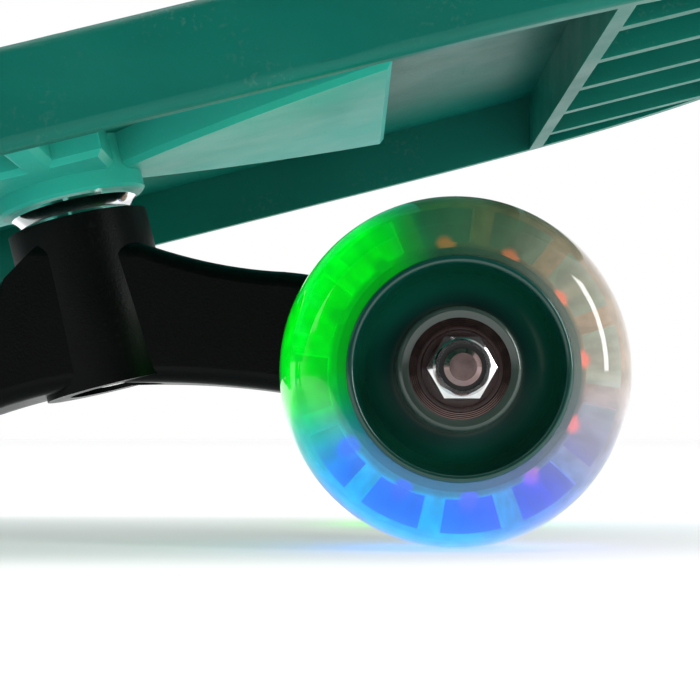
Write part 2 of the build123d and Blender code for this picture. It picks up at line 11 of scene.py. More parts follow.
import bpy
import numpy as np
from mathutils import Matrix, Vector

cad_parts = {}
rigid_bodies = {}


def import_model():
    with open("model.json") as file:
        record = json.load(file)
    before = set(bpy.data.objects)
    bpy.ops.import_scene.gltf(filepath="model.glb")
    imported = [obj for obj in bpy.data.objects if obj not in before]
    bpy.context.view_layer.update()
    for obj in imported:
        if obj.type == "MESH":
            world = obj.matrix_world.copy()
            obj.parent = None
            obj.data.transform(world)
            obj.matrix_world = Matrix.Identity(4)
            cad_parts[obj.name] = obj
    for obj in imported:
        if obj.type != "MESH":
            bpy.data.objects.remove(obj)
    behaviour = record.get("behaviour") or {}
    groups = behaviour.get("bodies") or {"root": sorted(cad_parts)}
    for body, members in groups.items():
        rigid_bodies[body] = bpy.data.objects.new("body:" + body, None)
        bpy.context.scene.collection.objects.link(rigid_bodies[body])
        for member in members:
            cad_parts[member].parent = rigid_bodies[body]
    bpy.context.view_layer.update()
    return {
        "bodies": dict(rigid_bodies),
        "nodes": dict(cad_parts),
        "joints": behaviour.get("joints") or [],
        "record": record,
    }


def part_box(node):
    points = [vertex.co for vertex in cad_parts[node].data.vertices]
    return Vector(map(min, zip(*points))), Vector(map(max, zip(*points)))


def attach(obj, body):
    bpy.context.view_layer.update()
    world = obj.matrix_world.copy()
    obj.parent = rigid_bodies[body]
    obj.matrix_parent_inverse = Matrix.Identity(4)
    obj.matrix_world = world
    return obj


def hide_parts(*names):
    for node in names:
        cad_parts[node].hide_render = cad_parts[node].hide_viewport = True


LOG = logging.getLogger("skateboard")
MM = 0.001
AXLE_X = 0.25
AXLE_Z = 0.0395
Colour = tuple[float, float, float]
Stops = Sequence[tuple[float, Colour]]


class End(Enum):
    """The two ends of the board."""

    NOSE = "nose"
    TAIL = "tail"

    @property
    def way(self) -> int:
        """Which way the end lies along the board.

        Returns:
            +1 at the nose and -1 at the tail.
        """
        return 1 if self is End.NOSE else -1


class Side(Enum):
    """The two sides of the board."""

    LEFT = "left"
    RIGHT = "right"

    @property
    def way(self) -> int:
        """Which way the side lies across the board.

        Returns:
            +1 at the rider's left and -1 at the right.
        """
        return 1 if self is Side.LEFT else -1


# ---- Shader building blocks ----------------------------------------------


class Graph:
    """A node tree with short ways to add and join its nodes."""

    def __init__(self, tree: bpy.types.NodeTree) -> None:
        """Wraps a tree.

        Args:
            tree: The node tree to build in.
        """
        self.tree = tree

    def add(self, kind: str, **settings: object) -> bpy.types.Node:
        """Adds one node.

        Args:
            kind: The node's type name.
            **settings: Properties to set on it.

        Returns:
            The new node.
        """
        node = self.tree.nodes.new(kind)
        for name, value in settings.items():
            setattr(node, name, value)
        return node

    def join(self, source: object, target: bpy.types.NodeSocket) -> None:
        """Links a socket, or sets a plain value, on a target socket.

        Args:
            source: The socket or value.
            target: The socket that takes it.
        """
        if isinstance(source, bpy.types.NodeSocket):
            self.tree.links.new(source, target)
        else:
            target.default_value = source

    def maths(self, operation: str, *values: object) -> bpy.types.NodeSocket:
        """Adds one step of arithmetic.

        Args:
            operation: The Math node's operation.
            *values: Sockets or numbers.

        Returns:
            The result's socket.
        """
        node = self.add("ShaderNodeMath", operation=operation)
        for slot, value in zip(node.inputs, values):
            self.join(value, slot)
        return node.outputs[0]

    def noise(
        self, place: object, scale: float, detail: float = 3.0, rough: float = 0.5
    ) -> bpy.types.NodeSocket:
        """Adds a cloudy pattern.

        Args:
            place: The coordinate socket.
            scale: Cells per metre.
            detail: Octaves.
            rough: Strength of the finer octaves.

        Returns:
            The factor socket.
        """
        node = self.add("ShaderNodeTexNoise")
        self.join(place, node.inputs["Vector"])
        node.inputs["Scale"].default_value = scale
        node.inputs["Detail"].default_value = detail
        node.inputs["Roughness"].default_value = rough
        return node.outputs["Fac"]

    def ramp(self, value: object, stops: Stops) -> bpy.types.NodeSocket:
        """Turns a value into a colour.

        Args:
            value: The socket to read, from 0 to 1.
            stops: Places and colours, in order.

        Returns:
            The colour socket.
        """
        node = self.add("ShaderNodeValToRGB")
        self.join(value, node.inputs[0])
        marks = node.color_ramp.elements
        while len(marks) < len(stops):
            marks.new(1.0)
        for mark, (place, colour) in zip(marks, stops):
            mark.position = place
            mark.color = (*colour, 1.0)
        return node.outputs["Color"]

    def span(
        self, value: object, low: float, high: float, out_low: float, out_high: float
    ) -> bpy.types.NodeSocket:
        """Carries a value from one range to another, smoothly and clamped.

        Args:
            value: The socket to read.
            low: Start of the range read.
            high: End of the range read.
            out_low: What the start becomes.
            out_high: What the end becomes.

        Returns:
            The result's socket.
        """
        node = self.add("ShaderNodeMapRange", interpolation_type="SMOOTHSTEP")
        self.join(value, node.inputs["Value"])
        for name, number in (
            ("From Min", low),
            ("From Max", high),
            ("To Min", out_low),
            ("To Max", out_high),
        ):
            node.inputs[name].default_value = number
        return node.outputs["Result"]

    def mix(
        self, share: object, first: object, second: object, blend: str = "MIX"
    ) -> bpy.types.NodeSocket:
        """Mixes two colours.

        Args:
            share: How much of the second.
            first: A colour or a socket.
            second: A colour or a socket.
            blend: The blend's name.

        Returns:
            The colour socket.
        """
        node = self.add("ShaderNodeMix", data_type="RGBA", blend_type=blend)
        self.join(share, node.inputs["Factor"])
        for value, name in ((first, "A"), (second, "B")):
            slot = next(s for s in node.inputs if s.name == name and s.type == "RGBA")
            self.join(value if isinstance(value, bpy.types.NodeSocket) else (*value, 1.0), slot)
        return next(s for s in node.outputs if s.type == "RGBA")


def new_group(
    name: str, inputs: dict[str, tuple[str, object]], outputs: dict[str, str]
) -> tuple[Graph, dict, dict]:
    """Starts a shader group with named sockets.

    Args:
        name: The group's name.
        inputs: Socket kind and starting value of each input.
        outputs: Socket kind of each output.

    Returns:
        The graph, its input sockets and its output sockets by name.
    """
    tree = bpy.data.node_groups.new(name, "ShaderNodeTree")
    for label, (kind, start) in inputs.items():
        made = tree.interface.new_socket(label, in_out="INPUT", socket_type=kind)
        made.default_value = start
    for label, kind in outputs.items():
        tree.interface.new_socket(label, in_out="OUTPUT", socket_type=kind)
    graph = Graph(tree)
    entry = graph.add("NodeGroupInput")
    leave = graph.add("NodeGroupOutput")
    return (
        graph,
        {s.name: s for s in entry.outputs if s.name},
        {s.name: s for s in leave.inputs if s.name},
    )


FLOAT = "NodeSocketFloat"
POINT = "NodeSocketVector"
TINT = "NodeSocketColor"


@dataclass
class EffectKit:
    """The effects that several finishes share, each one a shader group built once."""

    groups: dict[str, bpy.types.NodeTree] = field(default_factory=dict)

    def build(self) -> None:
        """Builds every group."""
        self.groups["scuffs"] = self._scuffs()
        self.groups["pebble"] = self._pebble()
        self.groups["mottle"] = self._mottle()
        self.groups["wheel_place"] = self._wheel_place()
        self.groups["dust"] = self._dust()

    def _scuffs(self) -> bpy.types.NodeTree:
        """Fine hairline scratches: two noises stretched along different ways, cut thin.

        Returns:
            The group.
        """
        graph, put, out = new_group(
            "Scuffs", {"Place": (POINT, (0, 0, 0)), "Amount": (FLOAT, 0.5)}, {"Mask": FLOAT}
        )
        found = None
        for turn, stretch in ((0.5, (40.0, 900.0, 900.0)), (2.1, (900.0, 60.0, 700.0))):
            mapping = graph.add("ShaderNodeMapping")
            graph.join(put["Place"], mapping.inputs["Vector"])
            mapping.inputs["Rotation"].default_value = (turn, turn / 2, turn)
            mapping.inputs["Scale"].default_value = stretch
            lines = graph.noise(mapping.outputs[0], 1.0, 2.0, 0.5)
            thin = graph.span(lines, 0.62, 0.72, 0.0, 1.0)
            found = thin if found is None else graph.maths("MAXIMUM", found, thin)
        patches = graph.span(graph.noise(put["Place"], 30.0), 0.45, 0.65, 0.0, 1.0)
        worn = graph.maths("MULTIPLY", found, patches)
        graph.join(graph.maths("MULTIPLY", worn, put["Amount"]), out["Mask"])
        return graph.tree

    def _pebble(self) -> bpy.types.NodeTree:
        """Moulded skin: rounded grains a fraction of a millimetre across.

        Returns:
            The group.
        """
        graph, put, out = new_group(
            "Pebble", {"Place": (POINT, (0, 0, 0)), "Scale": (FLOAT, 1500.0)}, {"Height": FLOAT}
        )
        cells = graph.add("ShaderNodeTexVoronoi", feature="SMOOTH_F1")
        graph.join(put["Place"], cells.inputs["Vector"])
        graph.join(put["Scale"], cells.inputs["Scale"])
        graph.join(graph.maths("SUBTRACT", 1.0, cells.outputs["Distance"]), out["Height"])
        return graph.tree

    def _mottle(self) -> bpy.types.NodeTree:
        """Slow drift of tone through a moulding, with faint streaks from its flow.

        Returns:
            The group.
        """
        graph, put, out = new_group(
            "Mottle",
            {"Place": (POINT, (0, 0, 0)), "Colour": (TINT, (1, 1, 1, 1)), "Amount": (FLOAT, 0.2)},
            {"Colour": TINT},
        )
        mapping = graph.add("ShaderNodeMapping")
        graph.join(put["Place"], mapping.inputs["Vector"])
        mapping.inputs["Scale"].default_value = (6.0, 26.0, 40.0)
        flow = graph.noise(mapping.outputs[0], 1.0, 4.0, 0.6)
        cloud = graph.noise(put["Place"], 22.0, 2.0)
        both = graph.maths("ADD", flow, cloud)
        tone = graph.span(both, 0.7, 1.3, 0.0, 1.0)
        deep = graph.mix(put["Amount"], (1, 1, 1), (0.45, 0.5, 0.52))
        shade = graph.mix(tone, deep, (1, 1, 1))
        graph.join(graph.mix(1.0, put["Colour"], shade, "MULTIPLY"), out["Colour"])
        return graph.tree

    def _wheel_place(self) -> bpy.types.NodeTree:
        """Place round an axle: angle as a turn from 0 to 1, radius and depth in metres.

        Returns:
            The group.
        """
        graph, put, out = new_group(
            "WheelPlace",
            {"Place": (POINT, (0, 0, 0)), "Axle X": (FLOAT, AXLE_X), "Axle Z": (FLOAT, AXLE_Z)},
            {"Angle": FLOAT, "Radius": FLOAT, "Depth": FLOAT},
        )
        parts = graph.add("ShaderNodeSeparateXYZ")
        graph.join(put["Place"], parts.inputs[0])
        across = graph.maths("SUBTRACT", parts.outputs["X"], put["Axle X"])
        down = graph.maths("SUBTRACT", put["Axle Z"], parts.outputs["Z"])
        angle = graph.maths("ARCTAN2", down, across)
        turn = graph.maths("DIVIDE", angle, 2 * math.pi)
        graph.join(graph.maths("FRACT", graph.maths("ADD", turn, 1.0)), out["Angle"])
        squares = graph.maths(
            "ADD", graph.maths("MULTIPLY", across, across), graph.maths("MULTIPLY", down, down)
        )
        graph.join(graph.maths("SQRT", squares), out["Radius"])
        graph.join(parts.outputs["Y"], out["Depth"])
        return graph.tree

    def _dust(self) -> bpy.types.NodeTree:
        """Thin dust that gathers in soft patches.

        Returns:
            The group.
        """
        graph, put, out = new_group(
            "Dust",
            {"Place": (POINT, (0, 0, 0)), "Colour": (TINT, (1, 1, 1, 1)), "Amount": (FLOAT, 0.1)},
            {"Colour": TINT},
        )
        fine = graph.span(graph.noise(put["Place"], 900.0, 2.0), 0.55, 0.7, 0.0, 1.0)
        broad = graph.span(graph.noise(put["Place"], 35.0, 3.0), 0.45, 0.7, 0.0, 1.0)
        share = graph.maths("MULTIPLY", graph.maths("MULTIPLY", fine, broad), put["Amount"])
        graph.join(graph.mix(share, put["Colour"], (0.45, 0.44, 0.41)), out["Colour"])
        return graph.tree

    def use(self, graph: Graph, name: str, **values: object) -> bpy.types.Node:
        """Places a shared effect in a material.

        Args:
            graph: The material's graph.
            name: The effect's name.
            **values: Its inputs, with underscores for spaces.

        Returns:
            The group node.
        """
        node = graph.add("ShaderNodeGroup", node_tree=self.groups[name])
        for label, value in values.items():
            slot = node.inputs[label.replace("_", " ")]
            if isinstance(value, tuple) and slot.type == "RGBA":
                value = (*value, 1.0)
            graph.join(value, slot)
        return node


KIT = EffectKit()


def start_material(
    name: str,
) -> tuple[bpy.types.Material, Graph, bpy.types.Node, bpy.types.NodeSocket]:
    """Starts a material on Object coordinates.

    Args:
        name: The material's name.

    Returns:
        The material, its graph, its shader and the coordinate socket.
    """
    material = bpy.data.materials.new(name)
    material.use_nodes = True
    graph = Graph(material.node_tree)
    shader = next(n for n in material.node_tree.nodes if n.type == "BSDF_PRINCIPLED")
    place = graph.add("ShaderNodeTexCoord").outputs["Object"]
    return material, graph, shader, place


def set_worn_roughness(
    graph: Graph,
    shader: bpy.types.Node,
    place: bpy.types.NodeSocket,
    base: object,
    amount: float,
    gain: float,
) -> None:
    """Sets the roughness, raised where fine scratches run.

    Args:
        graph: The material's graph.
        shader: The shader to set.
        place: The coordinate socket.
        base: The roughness without wear.
        amount: How many scratches show.
        gain: How much a scratch adds.
    """
    worn = KIT.use(graph, "scuffs", Place=place, Amount=amount)
    raised = graph.maths("MULTIPLY", worn.outputs[0], gain)
    graph.join(graph.maths("ADD", base, raised), shader.inputs["Roughness"])


def set_bump(
    graph: Graph, shader: bpy.types.Node, height: bpy.types.NodeSocket, distance: float
) -> None:
    """Raises a pattern on the surface.

    Args:
        graph: The material's graph.
        shader: The shader to set.
        height: The pattern's height, from 0 to 1.
        distance: Metres that a height of 1 stands for.
    """
    bump = graph.add("ShaderNodeBump")
    bump.inputs["Distance"].default_value = distance
    bump.inputs["Strength"].default_value = 1.0
    graph.join(height, bump.inputs["Height"])
    graph.join(bump.outputs[0], shader.inputs["Normal"])


@dataclass(frozen=True)
class Moulding:
    """An injection-moulded plastic or rubber finish."""

    name: str
    colour: Colour
    roughness: float
    specular: float = 0.5
    mottle: float = 0.2
    scuff: float = 0.3
    dust: float = 0.1
    grain_scale: float = 1600.0
    grain_depth: float = 0.00002
    coat: float = 0.0
    glow: float = 0.0

    @cache
    def make(self) -> bpy.types.Material:
        """Builds the material.

        Returns:
            The material.
        """
        material, graph, shader, place = start_material(self.name)
        toned = KIT.use(graph, "mottle", Place=place, Colour=self.colour, Amount=self.mottle)
        dusty = KIT.use(graph, "dust", Place=place, Colour=toned.outputs[0], Amount=self.dust)
        graph.join(dusty.outputs[0], shader.inputs["Base Color"])
        soft = graph.noise(place, 60.0, 4.0)
        rough = graph.span(soft, 0.3, 0.7, self.roughness * 0.88, self.roughness * 1.12)
        set_worn_roughness(graph, shader, place, rough, self.scuff, 0.25)
        shader.inputs["Specular IOR Level"].default_value = self.specular
        shader.inputs["Coat Weight"].default_value = self.coat
        shader.inputs["Coat Roughness"].default_value = 0.08
        shader.inputs["Subsurface Weight"].default_value = self.glow
        shader.inputs["Subsurface Radius"].default_value = (0.3, 1.0, 0.8)
        shader.inputs["Subsurface Scale"].default_value = 0.006
        if self.grain_depth > 0:
            grain = KIT.use(graph, "pebble", Place=place, Scale=self.grain_scale)
            set_bump(graph, shader, grain.outputs[0], self.grain_depth)
        return material


LATHE_RING_RATE = 16000.0
LATHE_RING_DEPTH = 0.0000015


@dataclass(frozen=True)
class Metal:
    """A plated, ground or turned metal finish."""

    name: str
    colour: Colour
    roughness: float
    scuff: float = 0.4
    tarnish: Colour = (0.3, 0.28, 0.26)
    tarnish_share: float = 0.1
    lathe: bool = False
    axle_x: float = AXLE_X

    @cache
    def make(self) -> bpy.types.Material:
        """Builds the material.

        Returns:
            The material.
        """
        material, graph, shader, place = start_material(self.name)
        shader.inputs["Metallic"].default_value = 1.0
        patch = graph.span(graph.noise(place, 120.0, 4.0), 0.5, 0.8, 0.0, self.tarnish_share)
        base = graph.mix(patch, self.colour, self.tarnish)
        graph.join(base, shader.inputs["Base Color"])
        fine = graph.noise(place, 300.0, 3.0)
        cloud = graph.span(fine, 0.3, 0.7, self.roughness * 0.8, self.roughness * 1.2)
        set_worn_roughness(graph, shader, place, cloud, self.scuff, 0.2)
        if self.lathe:
            where = KIT.use(graph, "wheel_place", Place=place, Axle_X=self.axle_x)
            waves = graph.maths("MULTIPLY", where.outputs["Radius"], LATHE_RING_RATE)
            set_bump(graph, shader, graph.maths("SINE", waves), LATHE_RING_DEPTH)
        return material


# Colours round a lit wheel, clockwise from straight ahead as a share of a turn.
BAR_STOPS: Stops = (
    (0.00, (0.46, 0.27, 0.17)),
    (0.08, (0.28, 0.24, 0.36)),
    (0.15, (0.12, 0.34, 0.70)),
    (0.24, (0.02, 0.62, 0.92)),
    (0.38, (0.01, 0.64, 0.95)),
    (0.43, (0.0, 0.50, 0.45)),
    (0.47, (0.0, 0.70, 0.06)),
    (0.55, (0.0, 0.80, 0.015)),
    (0.66, (0.0, 0.80, 0.015)),
    (0.70, (0.03, 0.22, 0.04)),
    (0.80, (0.20, 0.12, 0.05)),
    (0.90, (0.44, 0.25, 0.15)),
    (1.00, (0.46, 0.27, 0.17)),
)
POCKET_STOPS: Stops = (
    (0.00, (0.36, 0.40, 0.33)),
    (0.09, (0.16, 0.15, 0.34)),
    (0.15, (0.05, 0.06, 0.60)),
    (0.22, (0.01, 0.07, 0.72)),
    (0.38, (0.0, 0.13, 0.76)),
    (0.43, (0.0, 0.40, 0.35)),
    (0.47, (0.0, 0.45, 0.03)),
    (0.56, (0.0, 0.62, 0.01)),
    (0.66, (0.0, 0.60, 0.015)),
    (0.71, (0.01, 0.12, 0.05)),
    (0.80, (0.06, 0.11, 0.06)),
    (0.90, (0.26, 0.29, 0.22)),
    (1.00, (0.36, 0.40, 0.33)),
)
LAMP_STOPS: Stops = (
    (0.00, (0.95, 0.14, 0.09)),
    (0.12, (0.80, 0.16, 0.20)),
    (0.18, (0.16, 0.08, 0.85)),
    (0.42, (0.12, 0.06, 0.80)),
    (0.47, (0.02, 0.30, 0.02)),
    (0.58, (0.90, 0.25, 0.02)),
    (0.72, (0.95, 0.20, 0.04)),
    (1.00, (0.95, 0.14, 0.09)),
)
HAZE_STOPS: Stops = (
    (0.00, (0.78, 0.84, 0.78)),
    (0.08, (0.70, 0.76, 0.84)),
    (0.16, (0.34, 0.46, 0.82)),
    (0.26, (0.06, 0.46, 0.86)),
    (0.38, (0.03, 0.46, 0.86)),
    (0.44, (0.0, 0.48, 0.30)),
    (0.50, (0.0, 0.60, 0.03)),
    (0.66, (0.0, 0.55, 0.03)),
    (0.71, (0.05, 0.26, 0.14)),
    (0.80, (0.16, 0.30, 0.20)),
    (0.90, (0.60, 0.67, 0.58)),
    (1.00, (0.78, 0.84, 0.78)),
)
GLOW_STOPS: Stops = (
    (0.00, (0.02, 0.02, 0.018)),
    (0.10, (0.03, 0.03, 0.06)),
    (0.17, (0.01, 0.05, 0.22)),
    (0.25, (0.0, 0.13, 0.32)),
    (0.38, (0.0, 0.15, 0.36)),
    (0.43, (0.0, 0.34, 0.26)),
    (0.47, (0.0, 0.58, 0.03)),
    (0.54, (0.0, 0.66, 0.01)),
    (0.655, (0.0, 0.62, 0.01)),
    (0.69, (0.0, 0.26, 0.02)),
    (0.72, (0.004, 0.03, 0.012)),
    (0.82, (0.02, 0.02, 0.012)),
    (1.00, (0.02, 0.02, 0.018)),
)
BLACK: Colour = (0.0, 0.0, 0.0)
WHITE: Colour = (1.0, 1.0, 1.0)
POCKETS = 12.0
POCKET_PHASE = -10.0 / 30.0
POCKET_ARC = 0.0147
LAMP_RADIUS = 0.0279
LAMP_SQUASH = 1.5
LAMP_CORE = 0.0012
LAMP_EDGE = 0.0028


@dataclass(frozen=True)
class WheelLight:
    """How one wheel's lamps shine: where its colours start and how strong they are."""

    axle_x: float
    middle_y: float
    turn: float
    tag: str

    def _where(self, graph: Graph, place: bpy.types.NodeSocket) -> bpy.types.Node:
        """Places the angle and radius effect for this wheel.

        Args:
            graph: The material's graph.
            place: The coordinate socket.

        Returns:
            The effect's node.
        """
        return KIT.use(graph, "wheel_place", Place=place, Axle_X=self.axle_x)

    def _coloured(
        self, graph: Graph, angle: bpy.types.NodeSocket, place: bpy.types.NodeSocket
    ) -> bpy.types.NodeSocket:
        """Turns the angle on to this wheel's colours, with a slow drift of their edges.

        Args:
            graph: The material's graph.
            angle: The angle as a share of a turn.
            place: The coordinate socket.

        Returns:
            The angle to read colours by, from 0 to 1.
        """
        centred = graph.maths("SUBTRACT", graph.noise(place, 60.0, 2.0), 0.5)
        drifted = graph.maths("ADD", angle, graph.maths("MULTIPLY", centred, 0.06))
        return graph.maths("FRACT", graph.maths("ADD", drifted, self.turn + 1.0))

    def tyre(self) -> bpy.types.Material:
        """Clear urethane that carries the lamps' colours as a soft haze.

        Returns:
            The material.
        """
        material, graph, shader, place = start_material(f"ClearTyre_{self.tag}")
        where = self._where(graph, place)
        angle = self._coloured(graph, where.outputs["Angle"], place)
        graph.join(graph.ramp(angle, HAZE_STOPS), shader.inputs["Base Color"])
        glow = graph.ramp(angle, GLOW_STOPS)
        body = graph.span(where.outputs["Radius"], 0.0290, 0.0375, 0.45, 1.0)
        cloud = graph.span(graph.noise(place, 150.0, 2.0), 0.3, 0.7, 0.8, 1.0)
        strength = graph.maths("MULTIPLY", body, cloud)
        shade = graph.ramp(strength, ((0.0, BLACK), (1.0, WHITE)))
        graph.join(graph.mix(1.0, glow, shade, "MULTIPLY"), shader.inputs["Emission Color"])
        shader.inputs["Emission Strength"].default_value = 0.75
        shader.inputs["Transmission Weight"].default_value = 0.76
        shader.inputs["IOR"].default_value = 1.42
        set_worn_roughness(graph, shader, place, 0.09, 0.2, 0.3)
        shader.inputs["Coat Weight"].default_value = 0.6
        shader.inputs["Coat Roughness"].default_value = 0.02
        return material

    def _lamp_spots(self, graph: Graph, where: bpy.types.Node) -> bpy.types.NodeSocket:
        """Round glints at the inner end of each pocket, where its lamp sits.

        The distance from a spot is the root of the squares of its offset round the ring and
        The distance from a spot is the root of the squares of its offset round the ring and
        of its offset from the lamps' radius, which counts one and a half times; the mask falls
        off smoothly over 1.6 millimetres.

        Args:
            graph: The material's graph.
            where: The angle and radius effect.

        Returns:
            The mask socket.
        """
        phase = self._phase(graph, where)
        around = graph.maths("MULTIPLY", graph.maths("SUBTRACT", phase, 0.5), POCKET_ARC)
        offset = graph.maths("SUBTRACT", where.outputs["Radius"], LAMP_RADIUS)
        outward = graph.maths("MULTIPLY", offset, LAMP_SQUASH)
        around_square = graph.maths("MULTIPLY", around, around)
        outward_square = graph.maths("MULTIPLY", outward, outward)
        squares = graph.maths("ADD", around_square, outward_square)
        return graph.span(graph.maths("SQRT", squares), LAMP_CORE, LAMP_EDGE, 1.0, 0.0)

    def _phase(self, graph: Graph, where: bpy.types.Node) -> bpy.types.NodeSocket:
        """Works out the share of the way from one bar of the ring to the next.

        Args:
            graph: The material's graph.
            where: The angle and radius effect.

        Returns:
            The share, which is 0.5 in a pocket's middle.
        """
        steps = graph.maths("MULTIPLY", where.outputs["Angle"], POCKETS)
        return graph.maths("FRACT", graph.maths("ADD", steps, POCKET_PHASE + 1.0))

    def guide(self) -> bpy.types.Material:
        """Light guide inside the tyre: bright bars, deeper pockets and a lamp at each pocket.

        Returns:
            The material.
        """
        material, graph, shader, place = start_material(f"LightGuide_{self.tag}")
        where = self._where(graph, place)
        angle = self._coloured(graph, where.outputs["Angle"], place)
        bars = graph.ramp(angle, BAR_STOPS)
        pockets = graph.ramp(angle, POCKET_STOPS)
        offset = graph.maths("SUBTRACT", where.outputs["Depth"], self.middle_y)
        depth = graph.maths("ABSOLUTE", offset)
        in_pocket = graph.span(depth, 0.0008, 0.0040, 1.0, 0.0)
        lit = graph.mix(in_pocket, bars, pockets)
        inner = graph.span(where.outputs["Radius"], 0.0272, 0.0284, 0.75, 0.0)
        lit = graph.mix(inner, lit, (0.01, 0.05, 0.02))
        streak = graph.span(graph.noise(place, 300.0, 3.0), 0.3, 0.7, 0.62, 1.0)
        shade = graph.ramp(streak, ((0.0, BLACK), (1.0, WHITE)))
        shown = graph.mix(1.0, lit, shade, "MULTIPLY")
        shown = graph.mix(self._lamp_spots(graph, where), shown, graph.ramp(angle, LAMP_STOPS))
        graph.join(shown, shader.inputs["Base Color"])
        graph.join(shown, shader.inputs["Emission Color"])
        shader.inputs["Emission Strength"].default_value = 0.85
        shader.inputs["Roughness"].default_value = 0.35
        return material


@dataclass(frozen=True)
class ShadedHubPlastic:
    """Gloss hub plastic with painted shade and painted highlights: darker in the dish and on the
    lip's inner wall, paler on the bearing seat's edge and on the lip's rim.
    """

    name: str
    axle_x: float

    @cache
    def make(self) -> bpy.types.Material:
        """Builds the material.

        Returns:
            The material.
        """
        material, graph, shader, place = start_material(self.name)
        where = KIT.use(graph, "wheel_place", Place=place, Axle_X=self.axle_x)
        share = graph.span(where.outputs["Radius"], 0.0105, 0.0262, 0.0, 1.0)
        # Painted shade and painted highlights by radius: pale seat edge, dark dish and lip wall,
        # pale lip rim.
        tone = graph.ramp(
            share,
            (
                (0.0, (0.035, 0.055, 0.045)),
                (0.13, (0.040, 0.075, 0.060)),
                (0.20, (0.005, 0.050, 0.040)),
                (0.45, (0.002, 0.065, 0.042)),
                (0.80, (0.001, 0.046, 0.024)),
                (0.93, (0.003, 0.055, 0.042)),
                (1.0, (0.010, 0.110, 0.085)),
            ),
        )
        toned = KIT.use(graph, "mottle", Place=place, Colour=tone, Amount=0.15)
        graph.join(toned.outputs[0], shader.inputs["Base Color"])
        set_worn_roughness(graph, shader, place, 0.2, 0.15, 0.3)
        shader.inputs["Coat Weight"].default_value = 0.25
        shader.inputs["Coat Roughness"].default_value = 0.08
        return material


# ---- Parametric surfaces ---------------------------------------------------


@dataclass(frozen=True)
class Surface:
    """A mesh as plain arrays."""

    points: np.ndarray
    faces: np.ndarray

    def joined(self, other: "Surface") -> "Surface":
        """Puts two surfaces together.

        Args:
            other: The second surface.

        Returns:
            Both as one.
        """
        return Surface(
            np.concatenate([self.points, other.points]),
            np.concatenate([self.faces, other.faces + len(self.points)]),
        )


def grid_faces(rows: int, columns: int, wrap_rows: bool, wrap_columns: bool) -> np.ndarray:
    """Quads over a grid of points stored row by row.

    Args:
        rows: Number of rows of points.
        columns: Number of points in a row.
        wrap_rows: Whether the last row joins the first.
        wrap_columns: Whether a row's last point joins its first.

    Returns:
        An array of four indices a face.
    """
    row = np.arange(rows if wrap_rows else rows - 1)[:, None]
    column = np.arange(columns if wrap_columns else columns - 1)[None, :]
    next_row = (row + 1) % rows
    next_column = (column + 1) % columns
    corners = (
        row * columns + column,
        row * columns + next_column,
        next_row * columns + next_column,
        next_row * columns + column,
    )
    spread = [np.broadcast_to(corner, (row.size, column.size)) for corner in corners]
    return np.stack(spread, -1).reshape(-1, 4)


def rounded_profile(corners: Sequence[tuple[float, float, float]], steps: int = 6) -> np.ndarray:
    """Rounds the corners of a closed outline.

    Each corner with an easing of e is swapped for a quadratic curve that leaves one side e
    before the corner and joins the next side e after it, with the corner as its handle.

    Args:
        corners: Radius, place along the axle and easing, in millimetres.
        steps: Points on each eased corner.

    Returns:
        Points as rows of radius and place.
    """
    spots = np.array([c[:2] for c in corners], float)
    ease = np.array([c[2] for c in corners], float)
    before = np.roll(spots, 1, 0) - spots
    after = np.roll(spots, -1, 0) - spots
    reach_in = ease[:, None] * before / np.linalg.norm(before, axis=1)[:, None]
    reach_out = ease[:, None] * after / np.linalg.norm(after, axis=1)[:, None]
    share = np.linspace(0, 1, steps)[None, :, None]
    curve = (
        (1 - share) ** 2 * (spots + reach_in)[:, None]
        + 2 * share * (1 - share) * spots[:, None]
        + share**2 * (spots + reach_out)[:, None]
    )
    flat = curve.reshape(-1, 2)
    moved = np.linalg.norm(flat - np.roll(flat, 1, 0), axis=1) > 1e-6
    return flat[moved]


def turned(profile: np.ndarray, centre: Sequence[float], steps: int = 160) -> Surface:
    """Turns a closed outline round an axle.

    A point at radius r and place y goes to (x0 + r cos a, y0 + y, z0 + r sin a) for every
    angle a round the circle.

    Args:
        profile: Radius and place along the axle, in millimetres, going round the outline.
        centre: The point on the axle that places are counted from, in metres.
        steps: Points round the circle.

    Returns:
        The closed surface.
    """
    angle = np.linspace(0, 2 * math.pi, steps, endpoint=False)[:, None]
    radius = profile[None, :, 0] * MM
    along = np.broadcast_to(profile[None, :, 1] * MM, (steps, len(profile)))
    points = np.stack(
        [
            centre[0] + radius * np.cos(angle),
            centre[1] + along,
            centre[2] + radius * np.sin(angle),
        ],
        -1,
    ).reshape(-1, 3)
    return Surface(points, grid_faces(steps, len(profile), True, True))


def mesh_object(
    name: str, surface: Surface, material: bpy.types.Material, smooth: float = 40.0
) -> bpy.types.Object:
    """Makes a shown object out of arrays, with its place in its mesh.

    Args:
        name: The piece's name.
        surface: Its points and faces.
        material: Its finish.
        smooth: Edges sharper than this many degrees stay crisp.

    Returns:
        The object.
    """
    mesh = bpy.data.meshes.new(name)
    mesh.from_pydata(surface.points.tolist(), [], surface.faces.tolist())
    mesh.validate()
    if signed_volume(mesh) < 0:
        mesh.flip_normals()
    mesh.update()
    made = bpy.data.objects.new(name, mesh)
    bpy.context.scene.collection.objects.link(made)
    mesh.materials.append(material)
    mesh.shade_smooth()
    mesh.set_sharp_from_angle(angle=math.radians(smooth))
    return made


def signed_volume(mesh: bpy.types.Mesh) -> float:
    """Volume inside a closed mesh, below zero if its faces point inwards.

    It is the sum over all triangles of a . (b x c) / 6.

    Args:
        mesh: The mesh to measure.

    Returns:
        The volume in cubic metres.
    """
    mesh.calc_loop_triangles()
    corners = np.zeros(len(mesh.loop_triangles) * 3, np.int32)
    mesh.loop_triangles.foreach_get("vertices", corners)
    places = np.zeros(len(mesh.vertices) * 3, np.float32)
    mesh.vertices.foreach_get("co", places)
    places = places.reshape(-1, 3).astype(float)
    first, second, third = (places - places.mean(0))[corners.reshape(-1, 3)].transpose(1, 0, 2)
    return float(np.einsum("ij,ij->", first, np.cross(second, third)) / 6)


